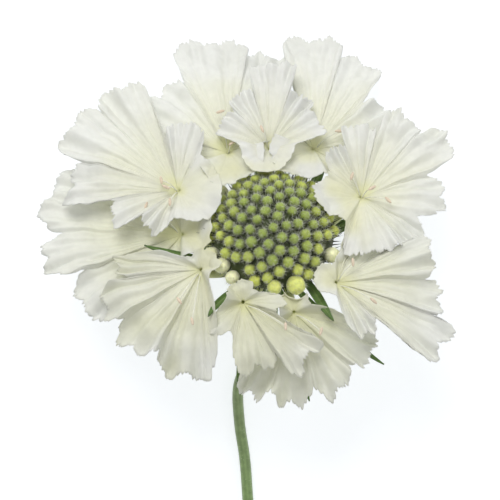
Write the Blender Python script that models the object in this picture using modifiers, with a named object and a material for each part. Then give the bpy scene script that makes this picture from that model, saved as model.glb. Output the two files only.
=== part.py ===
# A cut scabiosa flower lying on a table, face up: stem with its receptacle, ring of green
# bracts, domed disc of closed buds, and ten pale ray florets, each a tube that opens into
# a fan of long outer lobes, with shorter ones at its sides.
#
# The head is modelled about its own axis, in millimetres: azimuth is the direction round
# the axis, reach the distance from it, and rise the height above the disc's rim. Bearings
# are directions in the head's plane about a floret's own throat. Azimuths and bearings
# turn from +X towards +Y, in degrees. An empty tilts the head and lifts it off the table.

import math
import random

import bmesh
import bpy
from mathutils import Matrix, Vector

MM = 0.001
SEED = 14

# The head's pose over the table.
HEAD_TILT = 25.0
HEAD_HEIGHT = 18.5

# The disc: a domed core that tapers down to the receptacle, covered with buds.
CORE_RADIUS = 11.6
CORE_CROWN = 6.2
CORE_RINGS = 6
CORE_SIDES = 28
CORE_FOOT = ((11.45, -0.8), (7.4, -4.9), (4.0, -7.5), (0.0, -7.5))
BUD_COUNT = 96
BUD_RADIUS = 1.08
BUD_LENGTH = 1.3
BUD_STANCE = 0.1
BUD_EDGE = 0.97
BUD_SPACING = 0.55

# Larger buds near the rim, about to open: azimuth, lean from the head's axis, radius.
RIM_BUDS = (
    (291, 53, 1.75),
    (272, 52, 1.35),
    (219, 52, 1.45),
    (233, 54, 1.3),
    (335, 54, 1.45),
    (96, 53, 1.55),
    (141, 53, 1.3),
    (203, 54, 1.2),
)
RIM_BUD_STANCE = 0.6
RIM_BUD_LENGTH = 1.15

# Ray florets.
PETAL_THICKNESS = 0.6
TUBE_FOOT = (5.4, -8.7)
TUBE_FOOT_RADIUS = 0.65
TUBE_WAIST = (13.5, -2.3)
TUBE_WAIST_RADIUS = 0.95
TUBE_LEAN = 49.0
TUBE_FOOT_TURN = 10.0
THROAT_RADIUS = 1.3
LOBE_ARCH = 1.0
LOBE_WAVE = 0.7
WAVE_TURNS = 0.9
LOBE_ROWS = (0.0, 0.16, 0.42, 0.72, 1.0)
LONG_LOBE = 9.0
LONG_MARGIN = ((-1.0, 0.84), (-0.55, 1.0), (0.0, 0.91), (0.55, 1.0), (1.0, 0.86))
SHORT_MARGIN = ((-1.0, 0.75), (0.0, 1.0), (1.0, 0.75))
NOTCH = 0.86
LIP_LIFT = 1.3
LIP_PARTS = (0.08, 0.36, 0.64, 0.92)
DISC_CLEARANCE = 0.75
TABLE_CLEARANCE = 0.32
TABLE_BOW = 0.07

# Throat (azimuth, reach, rise), length of the lip that faces the disc, and lobes, each with
# its bearing, length, rise at the tip and half spread. The long lobes point outwards, and
# the short ones beside them turn back along the disc.
FLORETS = (
    ((21, 17.4, 1.5), 3.8, (
        (-80, 9.5, 2.8, 26), (-38, 12.6, 0.6, 12), (2, 14.5, 1.5, 16), (35, 19.6, 2.6, 12),
        (62, 18.0, 3.0, 12), (92, 13.5, 3.8, 14), (122, 7.5, 3.8, 13))),
    ((65, 18.1, 0.8), 3.8, (
        (-45, 8.0, -1.0, 12), (-10, 13.0, -1.4, 17), (27, 15.6, -0.5, 16), (64, 22.4, -2.8, 11),
        (90, 24.8, -2.6, 14), (119, 12.0, -2.4, 12), (146, 5.0, -0.8, 12))),
    ((92, 16.0, 1.8), 3.0, (
        (25, 7.5, 3.6, 17), (57, 11.5, 3.4, 12), (87, 16.2, 3.5, 16), (118, 11.5, 3.4, 12),
        (150, 7.5, 3.6, 17))),
    ((117, 17.6, 0.8), 3.8, (
        (38, 8.0, -0.8, 15), (69, 22.8, -2.6, 11), (98, 24.8, -2.4, 17), (141, 18.6, -0.5, 20),
        (182, 13.0, -0.6, 17))),
    ((156, 18.7, 1.5), 4.2, (
        (84, 12.0, 3.8, 17), (119, 23.8, 2.0, 12), (147, 23.6, 2.2, 14), (177, 20.0, 1.6, 14),
        (207, 13.0, 3.0, 14), (238, 7.5, 3.4, 13))),
    ((181, 16.4, -0.6), 2.1, (
        (128, 12.0, -1.6, 14), (160, 26.0, -3.0, 15), (189, 25.0, -3.5, 10), (214, 22.0, -5.0, 13),
        (242, 14.0, -5.5, 13))),
    ((212, 15.2, 1.0), 2.3, (
        (177, 15.4, 0.6, 8), (200, 19.2, -1.0, 11), (227, 18.4, -3.0, 14), (260, 18.4, -6.0, 17))),
    ((250, 15.4, 1.0), 2.3, (
        (222, 5.6, -1.8, 22), (282, 9.2, -2.4, 19), (318, 15.8, -1.6, 15), (355, 6.0, 2.4, 16))),
    ((284, 16.2, -0.8), 2.3, (
        (237, 14.4, -9.0, 12), (269, 14.2, -9.0, 15), (304, 14.4, -8.0, 15), (338, 14.4, -6.0, 16))),
    ((317, 15.8, 1.3), 2.3, (
        (300, 8.5, 1.0, 12), (332, 22.4, -3.0, 11), (355, 19.6, -1.5, 11), (379, 18.8, 0.5, 12),
        (410, 13.0, -0.6, 15), (431, 9.0, 0.0, 5))),
)

# Bracts: azimuth at the root, the bend and the tip, reach and rise of the bend and of the
# tip, and half the width.
BRACT_ROOT = (3.7, -10.8)
BRACT_THICKNESS = 0.7
BRACT_FOLD = 0.35
BRACT_OUTLINE = (0.3, 0.48, 0.8, 0.97, 0.92, 0.66, 0.1)
BRACTS = (
    ((209, 200, 189), (15.5, 1.9), (23.4, 2.2), 0.8),
    ((245, 233, 236), (14.5, 0.2), (20.6, 0.7), 0.85),
    ((254, 254, 255), (12.0, -13.2), (24.6, -14.0), 1.45),
    ((283, 283, 284), (13.0, -13.0), (28.3, -14.0), 1.0),
    ((318, 300, 302), (14.5, 0.4), (20.9, 0.2), 0.9),
    ((306, 308, 313), (14.0, -12.5), (29.9, -10.0), 0.9),
    ((28, 24, 24), (12.0, -11.0), (21.0, -9.0), 1.2),
    ((64, 60, 60), (12.0, -10.0), (20.0, -7.6), 1.2),
    ((100, 98, 98), (11.0, -9.4), (19.5, -6.6), 1.2),
    ((136, 136, 136), (12.0, -9.8), (20.5, -7.4), 1.2),
    ((172, 168, 168), (12.0, -11.0), (21.5, -9.2), 1.2),
)
COLLAR = ((3.2, -10.25), (4.3, -10.25), (4.6, -10.8), (4.1, -11.35), (2.95, -11.35))

# The receptacle, turned about the head's axis, and the stem, whose neck bends from that
# axis down to the table and then runs along it.
RECEPTACLE = (
    (0.0, -7.85),
    (3.9, -7.85),
    (3.9, -8.8),
    (2.9, -9.7),
    (2.6, -11.0),
    (1.5, -12.2),
    (0.9, -12.8),
    (0.0, -12.8),
)
RECEPTACLE_SIDES = 20
STEM_RADIUS = 1.0
NECK_RADIUS = 1.15
NECK_START = 11.4
NECK_BEND = 11.0
STEM_PLAN = ((-2.2, -20.5), (-6.1, -28.5), (-6.0, -35.0), (-5.0, -42.0), (-4.4, -50.0),
             (-3.6, -72.0), (-1.4, -98.0), (2.4, -124.0))
NECK_KNOTS = 5
STEM_CUT_SLANT = 40.0
CUTTER_SIZE = 10.0

COLOURS = {
    "stem": (0.23, 0.31, 0.13, 1.0),
    "bract": (0.09, 0.17, 0.035, 1.0),
    "bud": (0.24, 0.31, 0.07, 1.0),
    "petal": (0.80, 0.81, 0.70, 1.0),
}


def clear_scene():
    for old in list(bpy.data.objects):
        bpy.data.objects.remove(old, do_unlink=True)


def new_collection(name):
    collection = bpy.data.collections.new(name)
    bpy.context.scene.collection.children.link(collection)
    return collection


def new_material(name, roughness):
    material = bpy.data.materials.new(name)
    material.use_nodes = True
    shader = material.node_tree.nodes["Principled BSDF"]
    shader.inputs["Base Color"].default_value = COLOURS[name]
    shader.inputs["Roughness"].default_value = roughness
    shader.inputs["Metallic"].default_value = 0.0
    return material


def polar(azimuth, reach, rise=0.0):
    """A point of the head, in millimetres, from its azimuth, reach and rise."""
    angle = math.radians(azimuth)
    return Vector((reach * math.cos(angle), reach * math.sin(angle), rise))


def mesh_object(name, points, faces, material, collection):
    """An object from points in millimetres."""
    mesh = bpy.data.meshes.new(name)
    mesh.from_pydata([tuple(point * MM) for point in points], [], faces)
    mesh.materials.append(material)
    mesh.update()
    thing = bpy.data.objects.new(name, mesh)
    collection.objects.link(thing)
    return thing


def bake(thing):
    """Replaces an object's mesh, or its curve, by what its modifiers make of it."""
    bpy.context.view_layer.update()
    graph = bpy.context.evaluated_depsgraph_get()
    mesh = bpy.data.meshes.new_from_object(thing.evaluated_get(graph))
    mesh.transform(thing.matrix_world)
    edit = bmesh.new()
    edit.from_mesh(mesh)
    bmesh.ops.remove_doubles(edit, verts=edit.verts, dist=1e-7)
    bmesh.ops.triangulate(edit, faces=edit.faces)
    edit.to_mesh(mesh)
    edit.free()
    name = thing.name
    baked = bpy.data.objects.new(name, mesh)
    for collection in thing.users_collection:
        collection.objects.link(baked)
    bpy.data.objects.remove(thing, do_unlink=True)
    baked.name = name
    return baked


def fuse(base, added, solver="EXACT"):
    """Joins a collection's objects to the base object, and removes them."""
    union = base.modifiers.new("Union", "BOOLEAN")
    union.operation = "UNION"
    union.operand_type = "COLLECTION"
    union.collection = added
    union.solver = solver
    fused = bake(base)
    for thing in list(added.objects):
        bpy.data.objects.remove(thing, do_unlink=True)
    bpy.data.collections.remove(added)
    return fused


def turned(name, profile, sides, material, collection):
    """A solid turned about the head's axis from a profile of (reach, rise)."""
    points = [Vector((reach, 0.0, rise)) for reach, rise in profile]
    edges = [(i, i + 1) for i in range(len(points) - 1)]
    mesh = bpy.data.meshes.new(name)
    mesh.from_pydata([tuple(point * MM) for point in points], edges, [])
    mesh.materials.append(material)
    thing = bpy.data.objects.new(name, mesh)
    collection.objects.link(thing)
    screw = thing.modifiers.new("Turn", "SCREW")
    screw.steps = sides
    screw.render_steps = sides
    screw.use_merge_vertices = True
    screw.merge_threshold = 1e-6
    screw.use_normal_calculate = True
    return bake(thing)


def core_sphere():
    """Radius of the dome's sphere, and the rise of its centre."""
    radius = (CORE_RADIUS**2 + CORE_CROWN**2) / (2 * CORE_CROWN)
    return radius, CORE_CROWN - radius


def thick_sheet(thing, thickness):
    solid = thing.modifiers.new("Thickness", "SOLIDIFY")
    solid.thickness = thickness * MM
    solid.offset = 0.0
    return bake(thing)


def make_core(material, collection):
    radius, centre = core_sphere()
    edge = math.asin(CORE_RADIUS / radius)
    profile = []
    for i in range(CORE_RINGS + 1):
        angle = edge * i / CORE_RINGS
        profile.append((radius * math.sin(angle), centre + radius * math.cos(angle)))
    profile += CORE_FOOT
    return turned("disc_florets", profile, CORE_SIDES, material, collection)


def add_bud(spot, axis, radius, length, collection, material, turn):
    """A closed bud: a low round knob that stands on the core along its axis."""
    edit = bmesh.new()
    bmesh.ops.create_uvsphere(edit, u_segments=6, v_segments=4, radius=radius * MM)
    stretch = Matrix.Diagonal((1.0, 1.0, length / radius, 1.0))
    lean = axis.to_track_quat("Z", "Y").to_matrix().to_4x4()
    spin = Matrix.Rotation(turn, 4, "Z")
    edit.transform(Matrix.Translation(spot * MM) @ lean @ spin @ stretch)
    mesh = bpy.data.meshes.new("bud")
    edit.to_mesh(mesh)
    edit.free()
    mesh.materials.append(material)
    collection.objects.link(bpy.data.objects.new("bud", mesh))


def rim_buds():
    """Where the larger buds stand: their middle, axis and radius."""
    radius, centre_rise = core_sphere()
    buds = []
    for azimuth, lean, size in RIM_BUDS:
        tilt = math.radians(lean)
        axis = polar(azimuth, math.sin(tilt), math.cos(tilt))
        place = Vector((0.0, 0.0, centre_rise)) + axis * (radius + RIM_BUD_STANCE * size)
        buds.append((place, axis, size))
    return buds


def make_disc(material, collection):
    """The domed core with its spiral of closed buds and the larger ones at its rim."""
    draw = random.Random(SEED)
    radius, centre_rise = core_sphere()
    centre = Vector((0.0, 0.0, centre_rise))
    core = make_core(material, collection)
    buds = new_collection("buds")
    large = rim_buds()
    cap = 1.0 - math.cos(math.asin(CORE_RADIUS * BUD_EDGE / radius))
    golden = math.pi * (3.0 - math.sqrt(5.0))
    for i in range(BUD_COUNT):
        height = 1.0 - cap * (i + 0.5) / BUD_COUNT
        around = golden * i
        flat = math.sqrt(1.0 - height * height)
        axis = Vector((flat * math.cos(around), flat * math.sin(around), height))
        spot = centre + axis * (radius + BUD_STANCE)
        turn = draw.uniform(0.0, math.tau)
        if all((spot - place).length > size + BUD_SPACING * BUD_RADIUS for place, _, size in large):
            add_bud(spot, axis, BUD_RADIUS, BUD_LENGTH, buds, material, turn)
    for place, axis, size in large:
        add_bud(place, axis, size, size * RIM_BUD_LENGTH, buds, material, draw.uniform(0.0, math.tau))
    return fuse(core, buds)


def clear_of_disc(point):
    """Keeps a point of a petal outside the buds."""
    radius, centre_rise = core_sphere()
    centre = Vector((0.0, 0.0, centre_rise))
    rounds = [(centre, radius + BUD_LENGTH)]
    rounds += [(place, size * RIM_BUD_LENGTH) for place, _, size in rim_buds()]
    for middle, size in rounds:
        away = point - middle
        if point.z > 0.0 and away.length < size + DISC_CLEARANCE:
            point = middle + away.normalized() * (size + DISC_CLEARANCE)
    return point


def clear_of_table(point):
    """Lifts a point of a petal that would reach below the table, a little more where deeper."""
    tilt = math.radians(HEAD_TILT)
    height = HEAD_HEIGHT - point.y * math.sin(tilt) + point.z * math.cos(tilt)
    depth = max(TABLE_CLEARANCE - height, 0.0)
    return point + Vector((0.0, 0.0, depth * (1.0 + TABLE_BOW) / math.cos(tilt)))


def lobe_columns(throat_rise, lip, lobes):
    """The floret's margin as columns of (bearing, length, full length, rise, wave, arch)."""
    columns = []
    for index, (bearing, length, rise, spread) in enumerate(lobes):
        if index:
            last_bearing, last_length, last_rise, last_spread = lobes[index - 1]
            middle = (last_bearing + last_spread + bearing - spread) / 2
            notch = NOTCH * min(last_length, length)
            full = (last_length + length) / 2
            columns.append((middle, notch, full, (last_rise + rise) / 2, 0.0, LOBE_ARCH))
        is_long = length > LONG_LOBE
        for side, margin in LONG_MARGIN if is_long else SHORT_MARGIN:
            wave = LOBE_WAVE * math.cos(math.tau * WAVE_TURNS * side) if is_long else 0.0
            arch = LOBE_ARCH * min(length / (2 * LONG_LOBE), 1.0)
            columns.append((bearing + spread * side, length * margin, length, rise, wave, arch))
    start = lobes[-1][0] + lobes[-1][3]
    arc = 360.0 + lobes[0][0] - lobes[0][3] - start
    for part in LIP_PARTS:
        columns.append((start + arc * part, lip, lip, throat_rise + LIP_LIFT, 0.0, 0.0))
    return columns


def ring_point(centre, azimuth, lean, radius, bearing):
    """A point of a ring round a floret's tube, which leans outwards from the head's axis."""
    out = Vector((math.cos(math.radians(azimuth)), math.sin(math.radians(azimuth)), 0.0))
    up = Vector((0.0, 0.0, 1.0))
    along = Vector((-out.y, out.x, 0.0))
    across = out * math.cos(math.radians(lean)) - up * math.sin(math.radians(lean))
    angle = math.radians(bearing - azimuth)
    return centre + (across * math.cos(angle) + along * math.sin(angle)) * radius


def make_floret(index, floret, material, collection):
    """One ray floret: a single sheet that runs up its tube and out into its lobes."""
    (azimuth, reach, rise), lip, lobes = floret
    columns = lobe_columns(rise, lip, lobes)
    throat = polar(azimuth, reach, rise)
    foot_azimuth = 360.0 * index / len(FLORETS) + TUBE_FOOT_TURN
    foot = polar(foot_azimuth, *TUBE_FOOT)
    waist = polar(azimuth, *TUBE_WAIST)
    rows = [
        [ring_point(foot, foot_azimuth, TUBE_LEAN, TUBE_FOOT_RADIUS, column[0]) for column in columns],
        [ring_point(waist, azimuth, TUBE_LEAN, TUBE_WAIST_RADIUS, column[0]) for column in columns],
    ]
    for part in LOBE_ROWS:
        row = []
        for bearing, length, full, tip_rise, wave, arch in columns:
            out = THROAT_RADIUS + (length - THROAT_RADIUS) * part
            share = out / full
            lift = (tip_rise - rise) * share + wave * share**2 + arch * math.sin(math.pi * share)
            point = throat + polar(bearing, out, lift)
            row.append(clear_of_table(clear_of_disc(point)))
        rows.append(row)
    count = len(columns)
    faces = []
    for i in range(len(rows) - 1):
        for j in range(count):
            k = (j + 1) % count
            low, high = i * count, (i + 1) * count
            faces.append((low + j, low + k, high + k))
            faces.append((low + j, high + k, high + j))
    name = f"ray_floret_{index + 1:02d}"
    points = [point for row in rows for point in row]
    return thick_sheet(mesh_object(name, points, faces, material, collection), PETAL_THICKNESS)


def add_bract(bract, material, collection):
    """A narrow pointed blade with a folded midrib, on a curve from the collar to its tip."""
    azimuths, bend, tip, half_width = bract
    rows = len(BRACT_OUTLINE) - 1
    points = []
    for i, share in enumerate(BRACT_OUTLINE):
        part = i / rows
        reach, rise, azimuth = (
            (1 - part) ** 2 * root + 2 * part * (1 - part) * middle + part**2 * end
            for root, middle, end in (*zip(BRACT_ROOT, bend, tip), azimuths)
        )
        width = half_width * share
        centre = polar(azimuth, reach, rise)
        side = polar(azimuth + 90.0, width)
        fold = Vector((0.0, 0.0, BRACT_FOLD * width))
        points += [centre - side + fold, centre, centre + side + fold]
    faces = []
    for i in range(rows):
        for j in (0, 1):
            low, high = 3 * i + j, 3 * i + j + 3
            faces.append((low, low + 1, high + 1))
            faces.append((low, high + 1, high))
    thick_sheet(mesh_object("bract", points, faces, material, collection), BRACT_THICKNESS)


def make_involucre(material, collection):
    """The ring of bracts under the head, grown together at a collar."""
    blades = new_collection("blades")
    for bract in BRACTS:
        add_bract(bract, material, blades)
    collar = turned("involucre", COLLAR + COLLAR[:1], RECEPTACLE_SIDES, material, collection)
    return fuse(collar, blades, "MANIFOLD")


def head_matrix():
    lift = Matrix.Translation((0.0, 0.0, HEAD_HEIGHT * MM))
    return lift @ Matrix.Rotation(math.radians(-HEAD_TILT), 4, "X")


def stem_route():
    """Points (x, y, z, radius) down the middle of the neck and along the table."""
    tilt = math.radians(HEAD_TILT)
    down = Vector((0.0, -math.sin(tilt), -math.cos(tilt)))
    start = Vector((0.0, 0.0, HEAD_HEIGHT)) + down * NECK_START
    steep = math.radians(90.0 - HEAD_TILT)
    bend_top = NECK_RADIUS + NECK_BEND * (1.0 - math.cos(steep))
    top = start + down * max((start.z - bend_top) / math.cos(tilt), 0.0)
    route = [(*start, NECK_RADIUS)]
    for i in range(NECK_KNOTS):
        angle = steep * (1.0 - i / (NECK_KNOTS - 1))
        back = NECK_BEND * (math.sin(steep) - math.sin(angle))
        height = NECK_RADIUS + NECK_BEND * (1.0 - math.cos(angle))
        route.append((0.0, top.y - back, height, NECK_RADIUS))
    for x, y in STEM_PLAN:
        route.append((x, y, STEM_RADIUS, STEM_RADIUS))
    return route


def make_stem(material, collection):
    """The stem, a bent tube, with the receptacle that carries the head, cut at a slant."""
    curve = bpy.data.curves.new("stem", "CURVE")
    curve.dimensions = "3D"
    curve.bevel_depth = STEM_RADIUS * MM
    curve.bevel_resolution = 2
    curve.use_fill_caps = True
    curve.resolution_u = 4
    route = stem_route()
    spline = curve.splines.new("BEZIER")
    spline.bezier_points.add(len(route) - 1)
    for knot, (x, y, z, radius) in zip(spline.bezier_points, route):
        knot.co = Vector((x, y, z)) * MM
        knot.radius = radius / STEM_RADIUS
        knot.handle_left_type = "AUTO"
        knot.handle_right_type = "AUTO"
    curve.materials.append(material)
    tube = bpy.data.objects.new("stem", curve)
    collection.objects.link(tube)
    stem = bake(tube)

    added = new_collection("receptacle")
    receptacle = turned("receptacle", RECEPTACLE, RECEPTACLE_SIDES, material, added)
    receptacle.data.transform(head_matrix())
    stem = fuse(stem, added)

    end_x, end_y = STEM_PLAN[-1]
    bpy.ops.mesh.primitive_cube_add(size=CUTTER_SIZE * MM)
    cutter = bpy.context.object
    cutter.name = "slant_cutter"
    cutter.display_type = "WIRE"
    cutter.hide_render = True
    cutter.rotation_euler = (0.0, 0.0, math.radians(STEM_CUT_SLANT))
    cutter.location = Vector((end_x, end_y - CUTTER_SIZE / 2, 0.0)) * MM
    cut = stem.modifiers.new("Cut", "BOOLEAN")
    cut.operation = "DIFFERENCE"
    cut.object = cutter
    stem = bake(stem)
    bpy.data.objects.remove(cutter, do_unlink=True)
    return stem


def shade(thing, angle):
    thing.data.shade_smooth()
    thing.data.set_sharp_from_angle(angle=math.radians(angle))


def stand_on_origin(root, things):
    """Moves the flower so that the middle of its box's underside is the origin."""
    bpy.context.view_layer.update()
    corners = [thing.matrix_world @ vertex.co for thing in things for vertex in thing.data.vertices]
    low = Vector([min(corner[i] for corner in corners) for i in range(3)])
    high = Vector([max(corner[i] for corner in corners) for i in range(3)])
    root.location = (-(low.x + high.x) / 2, -(low.y + high.y) / 2, -low.z)


def main():
    clear_scene()
    flower = new_collection("scabiosa_flower")
    green = new_material("stem", 0.6)
    dark_green = new_material("bract", 0.55)
    bud_green = new_material("bud", 0.65)
    white = new_material("petal", 0.6)

    root = bpy.data.objects.new("flower", None)
    head = bpy.data.objects.new("head", None)
    flower.objects.link(root)
    flower.objects.link(head)
    head.parent = root
    head.matrix_local = head_matrix()

    stem = make_stem(green, flower)
    stem.parent = root
    shade(stem, 50)

    head_pieces = [make_involucre(dark_green, flower), make_disc(bud_green, flower)]
    for index, floret in enumerate(FLORETS):
        head_pieces.append(make_floret(index, floret, white, flower))
    for piece in head_pieces:
        piece.parent = head
        shade(piece, 60)

    stand_on_origin(root, [stem] + head_pieces)


main()
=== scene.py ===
# A white scabiosa flower lying face up on a pale table, dressed over its solid model.

import math
import random

import bpy
import numpy as np
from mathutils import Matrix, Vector


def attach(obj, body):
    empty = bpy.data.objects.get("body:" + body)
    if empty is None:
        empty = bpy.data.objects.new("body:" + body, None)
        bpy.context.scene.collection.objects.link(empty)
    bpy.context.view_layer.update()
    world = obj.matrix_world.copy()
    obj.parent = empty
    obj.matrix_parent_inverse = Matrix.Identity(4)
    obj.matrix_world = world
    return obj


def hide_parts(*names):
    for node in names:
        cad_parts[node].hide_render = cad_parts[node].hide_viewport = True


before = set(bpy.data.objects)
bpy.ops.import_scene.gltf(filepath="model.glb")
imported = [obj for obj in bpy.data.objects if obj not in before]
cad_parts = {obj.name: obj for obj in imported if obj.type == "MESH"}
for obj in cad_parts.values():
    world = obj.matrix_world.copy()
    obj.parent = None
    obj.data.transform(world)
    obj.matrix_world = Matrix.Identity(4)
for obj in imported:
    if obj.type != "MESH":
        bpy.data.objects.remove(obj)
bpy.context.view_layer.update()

# The model's own units: millimetres, with the head tilted about its centre.
MM = 0.001
TILT = math.radians(25.0)
HEAD_AT = np.array((4.19, 43.229, 18.562))
ROOT_AT = np.array((4.19, 43.229, 0.062))

# The disc, with the same values as the solid model.
CORE_RADIUS = 11.6
CORE_CROWN = 6.2
BUD_COUNT = 96
BUD_RADIUS = 1.08
BUD_LENGTH = 1.3
BUD_STANCE = 0.1
BUD_EDGE = 0.97
BUD_SPACING = 0.55
# Azimuth, lean from the axis, radius, and 0 for a yellow-green bud or 1 for a cream one.
RIM_BUDS = (
    (291, 53, 1.75, 0),
    (272, 52, 1.35, 0),
    (219, 52, 1.45, 1),
    (233, 54, 1.3, 1),
    (335, 54, 1.45, 1),
    (96, 53, 1.55, 0),
    (141, 53, 1.3, 1),
    (203, 54, 1.2, 1),
)
RIM_BUD_STANCE = 0.6
RIM_BUD_LENGTH = 1.15

# The ray florets' tubes and lobes.
TUBE_FOOT = (5.4, -8.7)
TUBE_FOOT_RADIUS = 0.65
TUBE_WAIST = (13.5, -2.3)
TUBE_WAIST_RADIUS = 0.95
TUBE_LEAN = 49.0
TUBE_FOOT_TURN = 10.0
LOBE_ARCH = 1.0
LOBE_WAVE = 0.7
WAVE_TURNS = 0.9
LONG_LOBE = 9.0
SHORT_MARGIN = ((-1.0, 0.75), (0.0, 1.0), (1.0, 0.75))
LIP_LIFT = 1.3
LIP_PARTS = (0.08, 0.36, 0.64, 0.92)
DISC_CLEARANCE = 0.75
TABLE_CLEARANCE = 0.32
TABLE_BOW = 0.07
# Throat as azimuth, reach and rise; lip as reach and rise; lobes as bearing, length, rise and
# half spread.
FLORETS = (
    ((21, 17.4, 1.5), (7.0, 1.8), (
        (-80, 9.5, 2.8, 26), (-38, 12.6, 0.6, 12), (2, 14.5, 1.5, 16), (35, 19.6, 2.6, 12),
        (62, 18.0, 3.0, 12), (92, 13.5, 3.8, 14), (122, 7.5, 3.8, 13))),
    ((65, 18.1, 0.8), (6.8, 1.6), (
        (-45, 8.0, -1.0, 12), (-10, 13.0, -1.4, 17), (27, 15.6, -0.5, 16), (64, 22.4, -2.8, 11),
        (90, 24.8, -2.6, 14), (119, 12.0, -2.4, 12), (146, 5.0, -0.8, 12))),
    ((92, 16.0, 1.8), (5.2, 1.8), (
        (25, 7.5, 3.6, 17), (57, 11.5, 3.4, 12), (87, 16.2, 3.5, 16), (118, 11.5, 3.4, 12),
        (150, 7.5, 3.6, 17))),
    ((117, 17.6, 0.8), (6.6, 1.6), (
        (38, 8.0, -0.8, 15), (69, 22.8, -2.6, 11), (98, 24.8, -2.4, 17), (141, 18.6, -0.5, 20),
        (182, 13.0, -0.6, 17))),
    ((156, 18.7, 1.5), (7.0, 1.6), (
        (84, 12.0, 3.8, 17), (119, 23.8, 2.0, 12), (147, 23.6, 2.2, 14), (177, 20.0, 1.6, 14),
        (207, 13.0, 3.0, 14), (238, 7.5, 3.4, 13))),
    ((181, 16.4, -0.6), (5.2, 1.2), (
        (128, 12.0, -1.6, 14), (160, 26.0, -3.0, 15), (189, 25.0, -3.5, 10), (214, 22.0, -5.0, 13),
        (242, 14.0, -5.5, 13))),
    ((212, 15.2, 1.0), (3.0, 0.6), (
        (177, 15.4, 0.6, 8), (200, 19.2, -1.0, 11), (227, 18.4, -3.0, 14), (260, 18.4, -6.0, 17))),
    ((250, 15.4, 1.0), (2.6, 0.4), (
        (222, 5.6, -1.8, 22), (282, 9.2, -2.4, 19), (318, 15.8, -1.6, 15), (355, 6.0, 2.4, 16))),
    ((284, 16.2, -0.8), (3.0, 0.6), (
        (237, 14.4, -9.0, 12), (269, 14.2, -9.0, 15), (304, 14.4, -8.0, 15), (338, 14.4, -6.0, 16))),
    ((317, 15.8, 1.3), (3.4, 0.6), (
        (300, 8.5, 1.0, 12), (332, 22.4, -3.0, 11), (355, 19.6, -1.5, 11), (379, 18.8, 0.5, 12),
        (410, 13.0, -0.6, 15), (431, 9.0, 0.0, 5))),
)

# Bracts: azimuths at root, bend and tip; reach and rise of the bend and of the tip; half width.
BRACT_ROOT = (3.7, -10.8)
BRACT_THICKNESS = 0.4
BRACT_FOLD = 0.35
BRACT_OUTLINE = (0.3, 0.48, 0.8, 0.97, 0.92, 0.66, 0.1)
BRACTS = (
    ((209, 200, 189), (15.5, 1.9), (23.4, 2.2), 0.8),
    ((245, 233, 236), (14.5, 0.2), (20.6, 0.7), 0.85),
    ((254, 254, 255), (12.0, -13.2), (24.6, -14.0), 1.45),
    ((283, 283, 284), (13.0, -13.0), (28.3, -14.0), 1.0),
    ((318, 300, 302), (14.5, 0.4), (20.9, 0.2), 0.9),
    ((306, 308, 313), (14.0, -12.5), (29.9, -10.0), 0.9),
    ((28, 24, 24), (12.0, -11.0), (21.0, -9.0), 1.2),
    ((64, 60, 60), (12.0, -10.0), (20.0, -7.6), 1.2),
    ((100, 98, 98), (11.0, -9.4), (19.5, -6.6), 1.2),
    ((136, 136, 136), (12.0, -9.8), (20.5, -7.4), 1.2),
    ((172, 168, 168), (12.0, -11.0), (21.5, -9.2), 1.2),
)
COLLAR = ((3.2, -10.25), (4.3, -10.25), (4.6, -10.8), (4.1, -11.35), (2.95, -11.35), (3.2, -10.25))
RECEPTACLE = ((0.0, -7.85), (3.9, -7.85), (3.9, -8.8), (2.9, -9.7), (2.6, -11.0), (1.5, -12.2),
              (0.9, -12.8), (0.0, -12.8))
STEM_RADIUS = 1.0
NECK_RADIUS = 1.15
NECK_START = 11.4
NECK_BEND = 11.0
NECK_KNOTS = 5
HEAD_HEIGHT = 18.5
STEM_PLAN = ((-2.2, -20.5), (-6.1, -28.5), (-6.0, -35.0), (-5.0, -42.0), (-4.4, -50.0),
             (-3.6, -72.0), (-1.4, -98.0), (2.4, -124.0))

# Detail of the petals that only the dressed flower has.
PETAL_SKIN = 0.16
STEPS_PER_COLUMN = 14
TUBE_STEPS = 6
FUNNEL_STEPS = 5
LOBE_STEPS = 30
LOBE_STEP_POWER = 0.9
THROAT_SLIT = 0.35
NOTCH = 0.93
NOTCH_DEPTH = 0.05
LONG_MARGIN = ((-1.0, 0.93), (-0.55, 1.0), (0.0, 0.95), (0.55, 1.0), (1.0, 0.93))
SIDE_GROWTH = 1.3
LIP_GROWTH = (1.0, 1.22, 1.1, 0.95)
LIP_ARCH = 0.3
# Size, seed and period of each kind of tooth along a margin.
TEETH = ((0.55, 5, 1.9), (0.85, 9, 0.8), (0.4, 13, 0.42))
TOOTH_DEPTH = 0.86
SCALLOP_DEPTH = 0.9
RIB_HEIGHT = 0.07
PLEAT_HEIGHT = 0.22
RUFFLE_HEIGHT = 0.9
BROAD_HEIGHT = 1.5
# Share of painted olive shade on each floret's petals, strongest on florets 7 to 9.
SHADY = (0.12, 0.05, 0.0, 0.05, 0.1, 0.2, 0.55, 0.6, 0.5, 0.3)

# Detail of the disc, the stamens and the stem.
CORE_INSET = 0.35
CORE_STEPS = 14
CORE_COLUMNS = 72
CORE_FOOT = ((11.0, -0.9), (7.2, -4.9), (3.9, -7.5), (0.0, -7.5))
# Below this rise the core keeps its own green instead of the painted shade.
CORE_SHADE_RISE = -0.5
BRISTLES_PER_BUD = 8
BRISTLE_WIDTH = 0.12
RIM_BRISTLES = 90
RIM_BRISTLE_WIDTH = 0.15
DOWN_PER_BUD = 95
DOWN_PER_RIM_BUD = 90
DOWN_WIDTH = 0.021
ROD_SIDES = 7
THREAD_WIDTH = 0.1
ANTHER_WIDTH = 0.3
ANTHER_HALF_LENGTH = 0.85
STEM_SIDES = 28
STEM_STEPS_PER_MM = 2.2
STEM_HAIRS = 1700
STEM_HAIR_WIDTH = 0.018
STEM_HAIR_FLOOR = 0.06

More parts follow.
